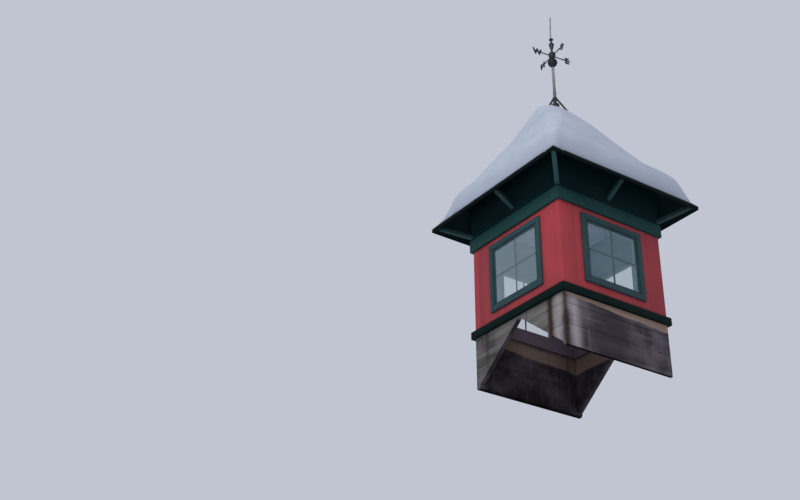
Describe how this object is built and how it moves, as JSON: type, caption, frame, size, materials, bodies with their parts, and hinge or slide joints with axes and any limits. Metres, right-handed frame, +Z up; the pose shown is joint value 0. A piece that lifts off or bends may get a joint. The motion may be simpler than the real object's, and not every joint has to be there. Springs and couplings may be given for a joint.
{
  "type": "roof cupola",
  "caption": "Square timber roof cupola with red walls, green trim, a window in each wall, a bell-cast hip roof under snow, and a weathervane.",
  "frame": {"origin": "middle of the base, on the level floor that the front and back curb boards stand on", "axes": "+Z up, -Y out of the front wall, +X out of the right wall and along the ridge of the roof that the cupola stands on"},
  "size_m": [1.462, 1.462, 3.2981],
  "materials": {
    "weathered_timber": "weathered, unpainted",
    "dark_green_paint": "satin paint, worn",
    "green_paint": "satin paint, worn",
    "red_paint": "flat paint on vertical grain",
    "window_glass": "clear, dusty",
    "ceiling_paint": "pale flat paint",
    "roofing": "dark shingles on boards",
    "hip_metal": "dark satin",
    "snow": "fresh, matt",
    "dark_iron": "aged, rough",
    "aged_metal": "darkened"
  },
  "bodies": {
    "cupola": {"ceiling": "ceiling_paint", "curb_back": "weathered_timber", "curb_front": "weathered_timber", "curb_left": "weathered_timber", "curb_right": "weathered_timber", "directionals": "dark_iron", "eave_board_back": "dark_green_paint", "eave_board_front": "dark_green_paint", "eave_board_left": "dark_green_paint", "eave_board_right": "dark_green_paint", "eave_braces": "green_paint", "fascia_back": "dark_green_paint", "fascia_front": "dark_green_paint", "fascia_left": "dark_green_paint", "fascia_right": "dark_green_paint", "finial": "dark_iron", "frieze_back": "green_paint", "frieze_front": "green_paint", "frieze_left": "green_paint", "frieze_right": "green_paint", "globe": "aged_metal", "hip_caps": "hip_metal", "mast": "dark_iron", "mast_bracket": "dark_iron", "roof_back": "roofing", "roof_front": "roofing", "roof_left": "roofing", "roof_right": "roofing", "roof_snow": "snow", "wall_back": "red_paint", "wall_front": "red_paint", "wall_left": "red_paint", "wall_right": "red_paint", "water_table_back": "dark_green_paint", "water_table_front": "dark_green_paint", "water_table_left": "dark_green_paint", "water_table_right": "dark_green_paint", "window_casing_back": "green_paint", "window_casing_front": "green_paint", "window_casing_left": "green_paint", "window_casing_right": "green_paint", "window_glass": "window_glass", "window_sash_back": "green_paint", "window_sash_front": "green_paint", "window_sash_left": "green_paint", "window_sash_right": "green_paint"},
    "vane": {"wind_arrow": "dark_iron"}
  },
  "joints": [
    {"name": "vane_turn", "type": "hinge", "parent": "cupola", "child": "vane", "pos_m": [0, 0, 3.27212], "axis": [0, 0, 1], "continuous": true}
  ]
}
